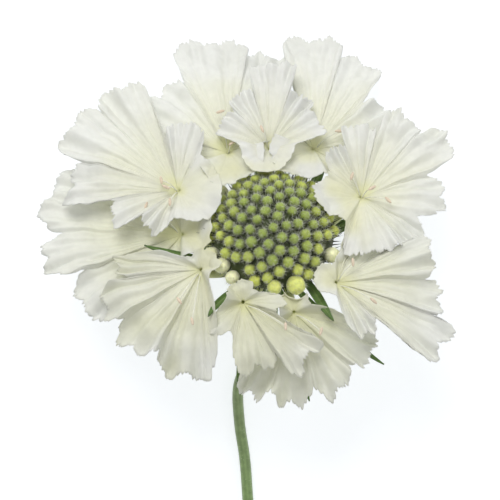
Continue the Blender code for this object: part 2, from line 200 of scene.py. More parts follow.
# Colours.
PETAL_WHITE = np.array((0.91, 0.915, 0.885))
PETAL_CREAM = np.array((0.895, 0.895, 0.775))
PETAL_BASE = np.array((0.86, 0.86, 0.56))
PETAL_WARM = np.array((0.87, 0.86, 0.50))
# Olive for painted shade on the petals.
PETAL_SHADE_OLIVE = np.array((0.52, 0.52, 0.24))
TUBE_GREEN = np.array((0.74, 0.77, 0.42))
# Near black for painted shade on the core between the buds.
CORE_GAP_SHADE = np.array((0.055, 0.075, 0.02))
CORE_GREEN = np.array((0.24, 0.30, 0.10))
BUD_GREEN = np.array((0.25, 0.32, 0.065))
BUD_YELLOW = np.array((0.56, 0.60, 0.12))
RIM_BUD_TONES = (np.array((0.66, 0.70, 0.20)), np.array((0.82, 0.82, 0.52)))
BRISTLE_DARK = np.array((0.028, 0.034, 0.012))
DOWN_PALE = np.array((0.72, 0.74, 0.62))
THREAD_PALE = (0.80, 0.80, 0.68)
ANTHER_TAN = (0.72, 0.60, 0.46)
BRACT_GREEN = np.array((0.085, 0.155, 0.035))
BRACT_RIB = np.array((0.24, 0.32, 0.12))
COLLAR_GREEN = np.array((0.11, 0.19, 0.05))
STEM_PALE = np.array((0.34, 0.41, 0.23))
STEM_GREEN = np.array((0.20, 0.31, 0.11))
RECEPTACLE_GREEN = np.array((0.22, 0.29, 0.11))
STEM_DOWN = np.array((0.66, 0.70, 0.55))

# What the photograph shows: its size, the head's centre and the scale there, in pixels.
PHOTO_SIZE = 500
PHOTO_HEAD = (272, 232)
PHOTO_SCALE = 5.507
VIEW_CENTRE = (-4.0, -3.27)
CAMERA_HEIGHT = 0.72
CAMERA_FOCUS_HEIGHT = 0.020
FILM_WIDTH = 36.0
# Each stamen's floret, the pixel of its anther and the rise there.
STAMENS = (
    (4, (161, 180), 4.0), (4, (166, 187), 4.6), (4, (170, 202), 5.0), (5, (146, 205), 3.2),
    (3, (220, 110), 3.2), (3, (232, 142), 3.8), (1, (340, 130), 3.6), (2, (262, 128), 5.4),
    (0, (388, 200), 4.4), (0, (372, 188), 5.4), (0, (352, 176), 4.8), (6, (193, 320), 3.8),
    (6, (180, 300), 4.0), (7, (285, 325), 4.2), (8, (320, 330), 3.0), (9, (352, 262), 4.6),
    (9, (372, 300), 4.0),
)


# Helpers.

def polar(azimuth, reach, rise=0.0):
    """Points at an azimuth in degrees, a reach from the axis and a rise along it."""
    angle = np.radians(azimuth)
    parts = np.broadcast_arrays(reach * np.cos(angle), reach * np.sin(angle), rise)
    return np.stack(parts, axis=-1).astype(float)


def head_to_world(points):
    """From the head's own millimetres to metres over the table."""
    x, y, z = points[..., 0], points[..., 1], points[..., 2]
    cos, sin = math.cos(TILT), math.sin(TILT)
    turned = np.stack((x, y * cos + z * sin, -y * sin + z * cos), axis=-1)
    return (turned + HEAD_AT) * MM


def stem_to_world(points):
    """From millimetres about the foot of the head's axis to metres over the table."""
    return (points + ROOT_AT) * MM


def smooth_noise(points, seed, cell):
    """Value noise in three dimensions, from -1 to 1."""
    scaled = points / cell
    base = np.floor(scaled).astype(np.int64)
    part = scaled - base
    part = part * part * (3.0 - 2.0 * part)
    total = np.zeros(points.shape[:-1])
    for i in (0, 1):
        for j in (0, 1):
            for k in (0, 1):
                corner = base + np.array((i, j, k))
                number = corner[..., 0] * 374761393 + corner[..., 1] * 668265263
                number = number + corner[..., 2] * 2147483647 + seed * 1274126177
                number = (number ^ (number >> 13)) * 1103515245 & 0x7FFFFFFF
                number = (number ^ (number >> 15)) & 0xFFFF
                weight = part[..., 0] if i else 1 - part[..., 0]
                weight = weight * (part[..., 1] if j else 1 - part[..., 1])
                weight = weight * (part[..., 2] if k else 1 - part[..., 2])
                total += weight * (number / 32767.5 - 1.0)
    return total


def plan_noise(flat, seed, cell):
    """Noise that depends on the place seen from above only."""
    return smooth_noise(np.stack((flat[:, 0], flat[:, 1], np.full(len(flat), 1.7)), -1), seed, cell)


def margin_noise(along, seed, cell):
    """Noise along a margin."""
    return smooth_noise(np.stack((along, 0 * along, 0 * along), -1), seed, cell)


def ease(value, low, high):
    """Smooth step from 0 at low to 1 at high."""
    part = np.clip((value - low) / (high - low), 0.0, 1.0)
    return part * part * (3.0 - 2.0 * part)


def blend(colour_a, colour_b, part):
    part = np.asarray(part)[..., None]
    return np.asarray(colour_a) * (1.0 - part) + np.asarray(colour_b) * part


def unit_vector(vector):
    return vector / np.linalg.norm(vector)


def frame_of(axis):
    """Two directions square to an axis and to each other."""
    side = unit_vector(np.cross(axis, (0.0, 0.0, 1.0) if abs(axis[2]) < 0.9 else (1.0, 0.0, 0.0)))
    return side, np.cross(axis, side)


def new_piece(name, points, faces, material, tint=None, smooth=True, node=None):
    """A piece from points in metres; tint is a colour for each point."""
    mesh = bpy.data.meshes.new(name)
    mesh.from_pydata(points.reshape(-1, 3).tolist(), [], faces)
    if tint is not None:
        layer = mesh.attributes.new("tint", "FLOAT_COLOR", "POINT")
        flat = np.ones((len(mesh.vertices), 4), dtype=np.float32)
        flat[:, :3] = np.clip(tint.reshape(-1, 3), 0.0, 1.0)
        layer.data.foreach_set("color", flat.ravel())
    mesh.materials.append(material)
    mesh.update()
    if smooth:
        mesh.shade_smooth()
    thing = bpy.data.objects.new(name, mesh)
    bpy.context.scene.collection.objects.link(thing)
    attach(thing, "root")
    if node:
        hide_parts(node)
    return thing


def even_tint(colour, points):
    return np.broadcast_to(np.array(colour), points.shape)


def grid_faces(rows, columns, closed=True):
    """Four-sided faces between rows of points, closed round into a tube or left open."""
    count = columns if closed else columns - 1
    i, j = np.meshgrid(np.arange(rows - 1), np.arange(count), indexing="ij")
    k = (j + 1) % columns
    low, high = i * columns, (i + 1) * columns
    return np.stack((low + j, low + k, high + k, high + j), axis=-1).reshape(-1, 4).tolist()


def joined(parts):
    """One set of points, faces and tints from parts that each have their own."""
    faces = []
    total = 0
    for points, part_faces, _ in parts:
        faces += [tuple(corner + total for corner in face) for face in part_faces]
        total += len(points)
    points = np.concatenate([part[0] for part in parts])
    return points, faces, np.concatenate([part[2] for part in parts])


def revolved(profile, columns, waves=0, depth=0.0):
    """Rings about the head's axis for a profile of reach and rise, with a wavy outline."""
    around = np.linspace(0.0, math.tau, columns, endpoint=False)
    wavy = 1.0 + depth * np.cos(waves * around)
    return np.array([
        np.stack((r * wavy * np.cos(around), r * wavy * np.sin(around), np.full(columns, z)), -1)
        for r, z in profile
    ])


def thicken(thing, thickness):
    solid = thing.modifiers.new("Skin", "SOLIDIFY")
    solid.thickness = thickness * MM
    solid.offset = 0.0
    graph = bpy.context.evaluated_depsgraph_get()
    mesh = bpy.data.meshes.new_from_object(thing.evaluated_get(graph))
    thing.modifiers.clear()
    thing.data = mesh


def spike(points, faces, root, direction, length, width, tip_share=0.12, steps=3):
    """Adds a tapered three-sided spike to the lists."""
    side, other = frame_of(direction)
    start = len(points)
    for i in range(steps + 1):
        part = i / steps
        centre = root + direction * length * part
        radius = width * (1.0 - (1.0 - tip_share) * part)
        for j in range(3):
            angle = math.tau * j / 3
            points.append(centre + (side * math.cos(angle) + other * math.sin(angle)) * radius)
    for i in range(steps):
        for j in range(3):
            a, b = start + 3 * i + j, start + 3 * i + (j + 1) % 3
            faces.append((a, b, b + 3, a + 3))
    last = start + 3 * steps
    faces.append((last, last + 1, last + 2))


# Materials: each takes its colour from the piece's tint, broken up by fine noise.

def tinted_noise(tree, scale, detail, noise_range, shade_range, bump_strength, bump_size):
    """Adds the tint times the noise, and gives the colour and the bumped normal."""
    tint = tree.nodes.new("ShaderNodeAttribute")
    tint.attribute_name = "tint"
    place = tree.nodes.new("ShaderNodeTexCoord")
    cells = tree.nodes.new("ShaderNodeTexNoise")
    cells.inputs["Scale"].default_value = scale
    cells.inputs["Detail"].default_value = detail
    shade = tree.nodes.new("ShaderNodeMapRange")
    shade.inputs["From Min"].default_value = noise_range[0]
    shade.inputs["From Max"].default_value = noise_range[1]
    shade.inputs["To Min"].default_value = shade_range[0]
    shade.inputs["To Max"].default_value = shade_range[1]
    tone = tree.nodes.new("ShaderNodeMix")
    tone.data_type = "RGBA"
    tone.blend_type = "MULTIPLY"
    tone.inputs[0].default_value = 1.0
    bump = tree.nodes.new("ShaderNodeBump")
    bump.inputs["Strength"].default_value = bump_strength
    bump.inputs["Distance"].default_value = bump_size
    link = tree.links.new
    link(place.outputs["Object"], cells.inputs["Vector"])
    link(cells.outputs["Fac"], shade.inputs["Value"])
    link(tint.outputs["Color"], tone.inputs[6])
    link(shade.outputs["Result"], tone.inputs[7])
    link(cells.outputs["Fac"], bump.inputs["Height"])
    return tone.outputs[2], bump.outputs["Normal"]


def petal_material():
    """A petal lets some of the light through."""
    material = bpy.data.materials.new("petal")
    material.use_nodes = True
    tree = material.node_tree
    tree.nodes.clear()
    out = tree.nodes.new("ShaderNodeOutputMaterial")
    mix = tree.nodes.new("ShaderNodeMixShader")
    mix.inputs[0].default_value = 0.3
    shader = tree.nodes.new("ShaderNodeBsdfPrincipled")
    shader.inputs["Roughness"].default_value = 0.55
    shader.inputs["Specular IOR Level"].default_value = 0.3
    shader.inputs["Sheen Weight"].default_value = 0.15
    glow = tree.nodes.new("ShaderNodeBsdfTranslucent")
    colour, normal = tinted_noise(tree, 900.0, 3.0, (0.0, 1.0), (0.93, 1.05), 0.25, 0.0001)
    link = tree.links.new
    link(colour, shader.inputs["Base Color"])
    link(colour, glow.inputs["Color"])
    link(normal, shader.inputs["Normal"])
    link(normal, glow.inputs["Normal"])
    link(shader.outputs[0], mix.inputs[1])
    link(glow.outputs[0], mix.inputs[2])
    link(mix.outputs[0], out.inputs["Surface"])
    return material


def plant_material(name, roughness, scale, shade_range, bump_strength, bump_size, sheen=0.0, scatter=0.0):
    material = bpy.data.materials.new(name)
    material.use_nodes = True
    tree = material.node_tree
    shader = tree.nodes["Principled BSDF"]
    shader.inputs["Roughness"].default_value = roughness
    shader.inputs["Specular IOR Level"].default_value = 0.35
    shader.inputs["Sheen Weight"].default_value = sheen
    shader.inputs["Subsurface Weight"].default_value = scatter
    shader.inputs["Subsurface Scale"].default_value = 0.001
    shader.inputs["Subsurface Radius"].default_value = (0.8, 1.0, 0.4)
    colour, normal = tinted_noise(tree, scale, 4.0, (0.3, 0.7), shade_range, bump_strength, bump_size)
    tree.links.new(colour, shader.inputs["Base Color"])
    tree.links.new(normal, shader.inputs["Normal"])
    return material


PETAL = petal_material()
BUD = plant_material("bud", 0.6, 1400.0, (0.8, 1.2), 0.4, 0.0001, sheen=0.3, scatter=0.15)
BRISTLE = plant_material("bristle", 0.5, 1500.0, (0.7, 1.3), 0.1, 0.0001)
HAIR = plant_material("hair", 0.6, 1500.0, (0.9, 1.1), 0.0, 0.0001, sheen=0.3)
LEAF = plant_material("bract", 0.5, 1100.0, (0.78, 1.2), 0.5, 0.00015, sheen=0.25)
STEM = plant_material("stem", 0.5, 800.0, (0.82, 1.18), 0.5, 0.00015, sheen=0.3)


# Where the buds sit.

def core_sphere():
    """Radius of the disc's dome and the rise of its centre."""
    radius = (CORE_RADIUS**2 + CORE_CROWN**2) / (2 * CORE_CROWN)
    return radius, CORE_CROWN - radius


def rim_bud_places():
    radius, centre_rise = core_sphere()
    places = []
    for azimuth, lean, size, kind in RIM_BUDS:
        tilt = math.radians(lean)
        axis = polar(azimuth, math.sin(tilt), math.cos(tilt))
        centre = np.array((0.0, 0.0, centre_rise)) + axis * (radius + RIM_BUD_STANCE * size)
        places.append((centre, axis, size, kind))
    return places


def bud_places():
    """Place, axis and share of the way to the rim for each small bud, along a spiral."""
    radius, centre_rise = core_sphere()
    centre = np.array((0.0, 0.0, centre_rise))
    cap = 1.0 - math.cos(math.asin(CORE_RADIUS * BUD_EDGE / radius))
    golden = math.pi * (3.0 - math.sqrt(5.0))
    rooms = [(place, size + BUD_SPACING * BUD_RADIUS) for place, _, size, _ in rim_bud_places()]
    places = []
    for i in range(BUD_COUNT):
        height = 1.0 - cap * (i + 0.5) / BUD_COUNT
        around = golden * i
        flat = math.sqrt(1.0 - height * height)
        axis = np.array((flat * math.cos(around), flat * math.sin(around), height))
        spot = centre + axis * (radius + BUD_STANCE)
        if all(np.linalg.norm(spot - place) > room for place, room in rooms):
            places.append((spot, axis, i / BUD_COUNT))
    return places


# Ray florets.

def clear_of_disc(points):
    """Moves points of a petal out of the disc and the rim buds."""
    radius, centre_rise = core_sphere()
    rounds = [(np.array((0.0, 0.0, centre_rise)), radius + BUD_LENGTH)]
    rounds += [(centre, size * RIM_BUD_LENGTH) for centre, _, size, _ in rim_bud_places()]
    for middle, size in rounds:
        away = points - middle
        length = np.linalg.norm(away, axis=-1)
        near = (points[..., 2] > 0.0) & (length < size + DISC_CLEARANCE)
        pushed = middle + away * ((size + DISC_CLEARANCE) / np.maximum(length, 0.01))[..., None]
        points = np.where(near[..., None], pushed, points)
    return points


def clear_of_table(points):
    """Lifts points of a petal that would reach below the table."""
    height = HEAD_HEIGHT - points[..., 1] * math.sin(TILT) + points[..., 2] * math.cos(TILT)
    lift = np.maximum(TABLE_CLEARANCE - height, 0.0) * (1.0 + TABLE_BOW) / math.cos(TILT)
    raised = points.copy()
    raised[..., 2] += lift
    return raised


def grown_lobes(lobes):
    """The lobes with the small ones at the sides made longer."""
    return [
        (bearing, length if length > LONG_LOBE + 1.0 else length * SIDE_GROWTH, rise, spread)
        for bearing, length, rise, spread in lobes
    ]


def lobe_columns(throat_rise, lip, lobes):
    """Bearing, length, full length, rise, wave, arch, notch, tooth depth for each column."""
    columns = []
    lobes = grown_lobes(lobes)
    for index, (bearing, length, rise, spread) in enumerate(lobes):
        if index:
            last_bearing, last_length, last_rise, last_spread = lobes[index - 1]
            middle = (last_bearing + last_spread + bearing - spread) / 2
            notch = NOTCH * min(last_length, length)
            full = (last_length + length) / 2
            columns.append((middle, notch, full, (last_rise + rise) / 2, 0.0, LOBE_ARCH, 1.0, 0.5))
        is_long = length > LONG_LOBE
        arch = LOBE_ARCH * min(length / (2 * LONG_LOBE), 1.0)
        for side, margin in LONG_MARGIN if is_long else SHORT_MARGIN:
            wave = LOBE_WAVE * math.cos(math.tau * WAVE_TURNS * side) if is_long else 0.0
            place = bearing + spread * side
            columns.append((place, length * margin, length, rise, wave, arch, 0.0, 1.0))
    lip_reach, lip_rise = lip
    top = throat_rise + LIP_LIFT + lip_rise
    start = lobes[-1][0] + lobes[-1][3]
    arc = 360.0 + lobes[0][0] - lobes[0][3] - start
    for part, grow in zip(LIP_PARTS, LIP_GROWTH):
        reach = lip_reach * grow
        columns.append((start + arc * part, reach, reach, top, 0.0, LIP_ARCH, 0.0, 1.0))
    return np.array(columns)


def round_trip(columns, steps):
    """Smooth closed run through the columns, steps points for each, evenly turning."""
    before, after = np.roll(columns, 1, axis=0), np.roll(columns, -1, axis=0)
    beyond = np.roll(columns, -2, axis=0)
    before[0, 0] -= 360.0
    after[-1, 0] += 360.0
    beyond[-1, 0] += 360.0
    beyond[-2, 0] += 360.0
    part = (np.arange(steps) / steps)[None, :, None]
    a, b, c, d = (rows[:, None, :] for rows in (before, columns, after, beyond))
    tension = 0.4
    slope_b, slope_c = tension * (c - a), tension * (d - b)
    fine = ((2 * part**3 - 3 * part**2 + 1) * b + (part**3 - 2 * part**2 + part) * slope_b
            + (-2 * part**3 + 3 * part**2) * c + (part**3 - part**2) * slope_c)
    linear = b + (c - b) * part
    fine[..., 0] = linear[..., 0]
    return fine.reshape(len(columns) * steps, -1)


def tube_ring(centre, azimuth, lean, radius, bearing):
    """Ring of a tube that leans outward, with a point for each bearing."""
    angle = math.radians(azimuth)
    out = np.array((math.cos(angle), math.sin(angle), 0.0))
    along = np.array((-math.sin(angle), math.cos(angle), 0.0))
    fall = np.array((0.0, 0.0, math.sin(math.radians(lean))))
    across = out * math.cos(math.radians(lean)) - fall
    turn = np.radians(bearing - azimuth)[:, None]
    return centre + (across * np.cos(turn) + along * np.sin(turn)) * radius


def teeth(along, seed, period):
    """Ragged teeth along a margin, from 0 in the gaps to 1 at the points."""
    draw = random.Random(seed)
    warp = 0
    for _ in range(3):
        size = draw.uniform(0.25, 0.5)
        warp = warp + size * np.sin(along / period * draw.uniform(0.35, 0.9) + draw.uniform(0, math.tau))
    phase = along / period + warp
    height = 0.6 + 0.4 * np.sin(phase * 1.7 + seed)
    return 1.0 - (1.0 - np.abs(np.sin(math.pi * phase))) ** 0.8 * height


def ragged_margin(index, bearing, length, notch, tooth):
    """Lengths with notches, teeth and scallops, and the flutter of the margin."""
    step = np.abs(np.diff(np.append(bearing, bearing[0] + 360.0)))
    along = np.cumsum(np.radians(step) * np.maximum(length, 2.0))
    length = length * (1.0 - NOTCH_DEPTH * np.clip(notch, 0.0, 1.0) ** 3)
    bite = sum(size * teeth(along, 31 * index + seed, period) for size, seed, period in TEETH)
    depth = TOOTH_DEPTH * np.clip(tooth, 0.4, 1.0) * np.clip(length / 10.0, 0.55, 1.0)
    scallop = margin_noise(along, 7 * index + 2, 3.0)
    small = np.clip(length / 14.0, 0.3, 1.0)
    length = length + (bite - 0.8) * depth + SCALLOP_DEPTH * scallop * small
    return length, margin_noise(along, 7 * index + 3, 1.25)


def tube_rows(index, azimuth, throat, bearing):
    """Rings from the tube's foot to its waist and on to the throat."""
    foot_azimuth = 360.0 * index / len(FLORETS) + TUBE_FOOT_TURN
    foot = polar(foot_azimuth, *TUBE_FOOT)
    waist = polar(azimuth, *TUBE_WAIST)
    foot_ring = tube_ring(foot, foot_azimuth, TUBE_LEAN, TUBE_FOOT_RADIUS, bearing)
    waist_ring = tube_ring(waist, azimuth, TUBE_LEAN, TUBE_WAIST_RADIUS, bearing)
    first = throat + polar(bearing, THROAT_SLIT)
    rows = []
    for part in np.linspace(0.0, 1.0, TUBE_STEPS + 1)[:-1]:
        rows.append(foot_ring + (waist_ring - foot_ring) * part)
    for part in np.linspace(0.0, 1.0, FUNNEL_STEPS + 1)[:-1]:
        swell = part * part * 0.5 + part * 0.5
        centre = waist + (throat - waist) * part
        ring_now = (waist_ring - waist) * (1 - part) + (first - throat) * part
        rows.append(centre + ring_now * (0.92 + 0.08 * swell))
    return rows


def lobe_rows(throat, columns, length, flutter, seed):
    """Rows of points out to the margin, how far out each one is, and its ribs and pleats."""
    bearing, _, full, tip_rise, wave, arch, _, _ = columns.T
    count = len(bearing)
    radians = np.radians(bearing)
    turn = np.stack((np.cos(radians) * 9, np.sin(radians) * 9, np.full(count, seed)), -1)
    bend = smooth_noise(turn, seed, 1.3)
    small = np.clip(full / 16.0, 0.3, 1.0)
    rows, grown, relief = [], [], []
    for part in np.linspace(0.0, 1.0, LOBE_STEPS) ** LOBE_STEP_POWER:
        out = THROAT_SLIT + (length - THROAT_SLIT) * part
        share = out / np.maximum(full, 1.0)
        flat = throat + polar(bearing, out)
        reachy = np.clip(share, 0.0, 1.1)
        widen = ease(reachy, 0.08, 0.45)
        ribs = np.sin(radians * full * 3.2 + 4.0 * bend + 2.2 * plan_noise(flat, seed + 41, 2.2))
        swing = 2.0 * plan_noise(flat, seed + 43, 4.5)
        pleats = np.sin(radians * full * 1.05 + 4.0 * bend + swing + seed)
        ruffle = plan_noise(flat, seed + 3, 2.4)
        broad = plan_noise(flat, seed + 5, 5.0)
        height = RIB_HEIGHT * ribs * widen * small
        height = height + PLEAT_HEIGHT * pleats * widen * small * reachy
        height = height + RUFFLE_HEIGHT * ruffle * ease(reachy, 0.25, 1.0) * small
        height = height + BROAD_HEIGHT * broad * ease(reachy, 0.2, 0.9) * small
        height = height + flutter * ease(reachy, 0.62, 1.05) * np.clip(full / 12.0, 0.5, 1.0)
        lift = (tip_rise - throat[2]) * share + wave * share**2
        lift = lift + arch * np.sin(math.pi * np.clip(share, 0, 1))
        lift = lift + height
        rows.append(flat + np.stack((np.zeros(count), np.zeros(count), lift), -1))
        grown.append(reachy)
        relief.append(ribs * 0.6 + pleats * 0.6)
    return rows, grown, relief


def petal_tint(index, seed, points, grown, relief):
    """Greenish tube, yellow-green base, cream middle, white margin, painted shade in the folds, and
    painted olive shade over whole florets.
    """
    level = grown + 0.10 * smooth_noise(points, seed + 11, 4.2)
    tint = blend(TUBE_GREEN, PETAL_BASE, ease(level, -0.4, 0.08))
    tint = blend(tint, PETAL_CREAM, ease(level, 0.02, 0.26))
    tint = blend(tint, PETAL_WHITE, ease(level, 0.28, 0.9))
    near_disc = 1.0 - ease(np.hypot(points[..., 0], points[..., 1]), 12.5, 21.0)
    warm = near_disc * np.clip(0.3 + 1.1 * smooth_noise(points, 47, 3.6), 0.0, 1.0)
    tint = blend(tint, PETAL_WARM, 0.5 * warm * ease(grown, -0.5, 0.1))
    # Painted shade in the pleat valleys, in olive.
    fold_shade = np.clip(-relief, 0.0, 1.0)
    tint = blend(tint, PETAL_SHADE_OLIVE, fold_shade * 0.08 * (1.2 - np.clip(grown, 0.0, 1.0)))
    # Painted olive shade over the whole floret, as much as SHADY gives.
    shady = SHADY[index] * np.clip(0.55 + 0.6 * smooth_noise(points, seed + 23, 6.0), 0.0, 1.0)
    return blend(tint, PETAL_SHADE_OLIVE * 1.25, shady * 0.55)


def make_floret(index, floret):
    (azimuth, reach, rise), lip, lobes = floret
    columns = round_trip(lobe_columns(rise, lip, lobes), STEPS_PER_COLUMN)
    bearing, length, _, _, _, _, notch, tooth = columns.T
    count = len(bearing)
    throat = polar(azimuth, reach, rise)
    seed = 101 * index + 17
    length, flutter = ragged_margin(index, bearing, length, notch, tooth)
    tube = tube_rows(index, azimuth, throat, bearing)
    lobe, grown, relief = lobe_rows(throat, columns, length, flutter, seed)
    lobe = clear_of_table(clear_of_disc(np.array(lobe)))
    points = np.concatenate((np.array(tube), lobe))
    grown = np.array([np.full(count, -1.0)] * len(tube) + grown)
    relief = np.array([np.zeros(count)] * len(tube) + relief)
    thing = new_piece(
        f"petals_{index + 1:02d}", head_to_world(points), grid_faces(len(points), count), PETAL,
        tint=petal_tint(index, seed, points, grown, relief),
        node=f"ray_floret_{index + 1:02d}",
    )
    thicken(thing, PETAL_SKIN)


# Disc of buds.

def knob(columns, rows, lobes, pinch):
    """Unit closed bud: a knob with shallow furrows that meet at its tip."""
    points = [np.array(((0.0, 0.0, -1.0),))]
    around = np.linspace(0.0, math.tau, columns, endpoint=False)
    for i in range(1, rows):
        fall = math.pi * (1.0 - i / rows)
        near_tip = max(math.cos(fall), 0.0)
        furrow = 1.0 - pinch * (0.35 + 0.65 * near_tip) * (0.5 - 0.5 * np.cos(lobes * around))
        radius = math.sin(fall) * furrow
        height = np.full(columns, math.cos(fall) - 0.10 * near_tip**3)
        points.append(np.stack((radius * np.cos(around), radius * np.sin(around), height), -1))
    points.append(np.array(((0.0, 0.0, 0.90),)))
    flat = np.concatenate(points)
    faces = []
    for j in range(columns):
        faces.append((0, 1 + (j + 1) % columns, 1 + j))
    for i in range(rows - 2):
        low, high = 1 + i * columns, 1 + (i + 1) * columns
        for j in range(columns):
            k = (j + 1) % columns
            faces.append((low + j, low + k, high + k, high + j))
    last = 1 + (rows - 2) * columns
    top = len(flat) - 1
    for j in range(columns):
        faces.append((last + j, last + (j + 1) % columns, top))
    return flat, faces


def core_profile():
    """Reach and rise from the crown of the core to the rim, then under it to the axis."""
    radius, centre_rise = core_sphere()
    edge = math.asin(CORE_RADIUS / radius)
    inner = radius - CORE_INSET
    angles = [edge * i / CORE_STEPS for i in range(CORE_STEPS + 1)]
    dome = [(inner * math.sin(angle), centre_rise + inner * math.cos(angle)) for angle in angles]
    return dome + list(CORE_FOOT)


def small_bud(draw, unit, spot, axis, share):
    """Points and tint of one small bud, yellower towards the rim, with painted shade at its foot and a
    painted highlight at its tip.
    """
    side, other = frame_of(axis)
    turn = draw.uniform(0.0, math.tau)
    size = draw.uniform(0.96, 1.12) * (0.93 + 0.12 * share)
    across = side * math.cos(turn) + other * math.sin(turn)
    aside = np.cross(axis, across)
    lean = across * draw.uniform(-0.12, 0.12)
    body = spot + (unit[:, :1] * across + unit[:, 1:2] * aside) * BUD_RADIUS * size
    body = body + unit[:, 2:3] * (axis + lean) * BUD_LENGTH
    ripe = np.clip(share * 1.1 - 0.25 + draw.uniform(-0.2, 0.2), 0.0, 1.0)
    tone = blend(BUD_GREEN, BUD_YELLOW, ripe)
    # Half as bright at the foot for painted shade among the buds, brighter at the tip for a painted
    # highlight.
    return body, blend(tone * 0.5, tone * 1.3, ease(unit[:, 2], -0.1, 0.9))


def large_bud(unit, spot, axis, size, kind):
    side, other = frame_of(axis)
    body = spot + (unit[:, :1] * side + unit[:, 1:2] * other) * size
    body = body + unit[:, 2:3] * axis * size * RIM_BUD_LENGTH
    tone = RIM_BUD_TONES[kind]
    # Darker at the foot for painted shade, brighter at the tip for a painted highlight.
    return body, blend(tone * 0.55, tone * 1.12, ease(unit[:, 2], -0.5, 0.8))


def make_buds(draw):
    """The core, painted dark as shade between the buds, its small buds and the larger ones at the rim."""
    profile = core_profile()
    core = revolved(profile, CORE_COLUMNS)
    # The dome among the buds is painted dark as shade; the foot under it is green.
    shade = even_tint(CORE_GAP_SHADE, core).copy()
    shade[core[..., 2] < CORE_SHADE_RISE] = CORE_GREEN
    core_faces = grid_faces(len(profile), CORE_COLUMNS)
    parts = [(core.reshape(-1, 3), core_faces, shade.reshape(-1, 3))]
    unit, unit_faces = knob(16, 11, 4, 0.16)
    for spot, axis, share in bud_places():
        body, shade = small_bud(draw, unit, spot, axis, share)
        parts.append((body, unit_faces, shade))
    unit, unit_faces = knob(26, 18, 5, 0.10)
    for spot, axis, size, kind in rim_bud_places():
        body, shade = large_bud(unit, spot, axis, size, kind)
        parts.append((body, unit_faces, shade))
    points, faces, tint = joined(parts)
    new_piece("disc_buds", head_to_world(points), faces, BUD, tint=tint, node="disc_florets")


def make_bristles(draw):
    """Dark pointed bristles between the buds and around the rim."""
    points, faces = [], []
    for spot, axis, share in bud_places():
        side, other = frame_of(axis)
        turn = draw.uniform(0.0, math.tau)
        longer = 1.0 + 0.5 * ease(share, 0.8, 1.0)
        for k in range(BRISTLES_PER_BUD):
            angle = turn + math.tau * k / BRISTLES_PER_BUD + draw.uniform(-0.3, 0.3)
            out = side * math.cos(angle) + other * math.sin(angle)
            root = spot + out * BUD_RADIUS * 0.95 - axis * 0.5
            direction = unit_vector(axis + out * draw.uniform(0.05, 0.35))
            spike(points, faces, root, direction, draw.uniform(1.3, 2.2) * longer, BRISTLE_WIDTH)
    for k in range(RIM_BRISTLES):
        azimuth = 360.0 / RIM_BRISTLES * k + draw.uniform(-2.0, 2.0)
        root = polar(azimuth, CORE_RADIUS - 0.3, -0.2)
        direction = polar(azimuth + draw.uniform(-12, 12), 1.0, draw.uniform(0.25, 1.1))
        spike(points, faces, root, unit_vector(direction), draw.uniform(1.6, 2.6), RIM_BRISTLE_WIDTH)
    bristles = np.array(points)
    tint = even_tint(BRISTLE_DARK, bristles)
    new_piece("bristles", head_to_world(bristles), faces, BRISTLE, tint=tint, smooth=False)


def make_down(draw):
    """Fine white down on the buds."""
    points, faces = [], []
    downy = [(spot, axis, BUD_RADIUS, BUD_LENGTH, DOWN_PER_BUD) for spot, axis, _ in bud_places()]
    for spot, axis, size, _ in rim_bud_places():
        downy.append((spot, axis, size, size * RIM_BUD_LENGTH, DOWN_PER_RIM_BUD))
    for spot, axis, wide, tall, count in downy:
        side, other = frame_of(axis)
        for _ in range(count):
            angle = draw.uniform(0.0, math.tau)
            up = draw.uniform(0.0, 1.0) ** 0.8
            flat = math.sqrt(max(1.0 - up * up, 0.0))
            out = side * math.cos(angle) + other * math.sin(angle)
            root = spot + out * flat * wide * 0.94 + axis * up * tall * 0.9
            stray = np.array([draw.uniform(-0.5, 0.5) for _ in range(3)])
            direction = unit_vector(out * flat + axis * up + stray)
            spike(points, faces, root, direction, draw.uniform(0.35, 0.95), DOWN_WIDTH, steps=1)
    down = np.array(points)
    tint = even_tint(DOWN_PALE, down)
    new_piece("down", head_to_world(down), faces, HAIR, tint=tint, smooth=False)


def make_disc():
    draw = random.Random(71)
    make_buds(draw)
    make_bristles(draw)
    make_down(draw)


# Stamens: a pale thread from a throat, with a long anther across its end.

def pixel_to_head(pixel, rise):
    """The head's own point that a pixel of the photograph shows, at a rise."""
    x = (pixel[0] - PHOTO_HEAD[0]) / PHOTO_SCALE
    y = ((PHOTO_HEAD[1] - pixel[1]) / PHOTO_SCALE - rise * math.sin(TILT)) / math.cos(TILT)
    return np.array((x, y, rise))


def rod(points, faces, colours, route, widths, colour):
    """Adds a closed rod along a route to the lists."""
    base = len(points)
    for i, centre in enumerate(route):
        ahead = route[min(i + 1, len(route) - 1)] - route[max(i - 1, 0)]
        side, other = frame_of(unit_vector(ahead))
        for j in range(ROD_SIDES):
            turn = math.tau * j / ROD_SIDES
            points.append(centre + (side * math.cos(turn) + other * math.sin(turn)) * widths[i])
            colours.append(colour)
    for i in range(len(route) - 1):
        for j in range(ROD_SIDES):
            a = base + ROD_SIDES * i + j
            b = base + ROD_SIDES * i + (j + 1) % ROD_SIDES
            faces.append((a, b, b + ROD_SIDES, a + ROD_SIDES))
    last = base + ROD_SIDES * (len(route) - 1)
    faces.append(tuple(base + j for j in reversed(range(ROD_SIDES))))
    faces.append(tuple(last + j for j in range(ROD_SIDES)))


